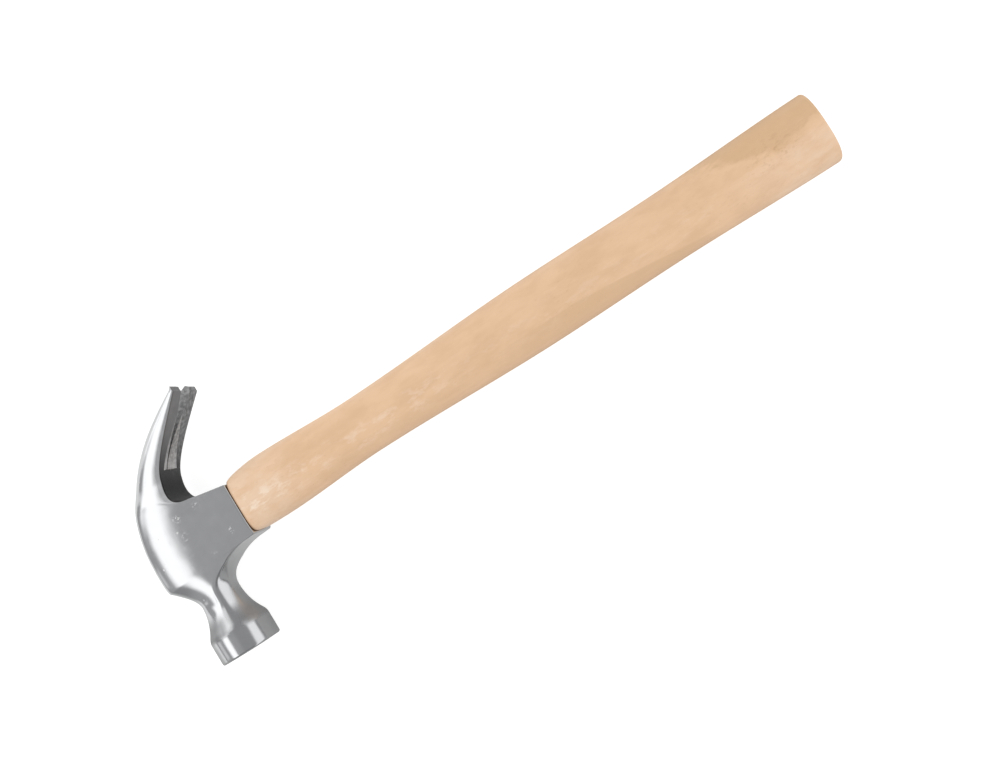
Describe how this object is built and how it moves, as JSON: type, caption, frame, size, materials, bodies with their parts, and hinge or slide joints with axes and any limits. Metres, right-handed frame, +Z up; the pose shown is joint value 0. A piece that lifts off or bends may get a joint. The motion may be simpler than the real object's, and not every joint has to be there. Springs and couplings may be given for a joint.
{
  "type": "claw hammer",
  "caption": "Curved claw hammer lying on its side: polished steel head with round striking face, faceted neck and notched claw, wedged onto a pale wooden handle with a swelled grip.",
  "frame": {"origin": "under the middle of the bounding box, on the surface that the hammer lies on", "axes": "+X along the handle from the head to the butt, +Y from the striking face to the claw tips, +Z up, square to the cheeks"},
  "size_m": [0.33, 0.1118, 0.0272],
  "materials": {
    "polished_steel": "polished",
    "pale_hardwood": "satin lacquer",
    "wedge_hardwood": "bare",
    "plain_steel": "satin"
  },
  "bodies": {
    "root": {"hammer_head": "polished_steel", "handle": "pale_hardwood", "wooden_wedge": "wedge_hardwood", "steel_wedge_claw_side": "plain_steel", "steel_wedge_face_side": "plain_steel"}
  },
  "joints": []
}
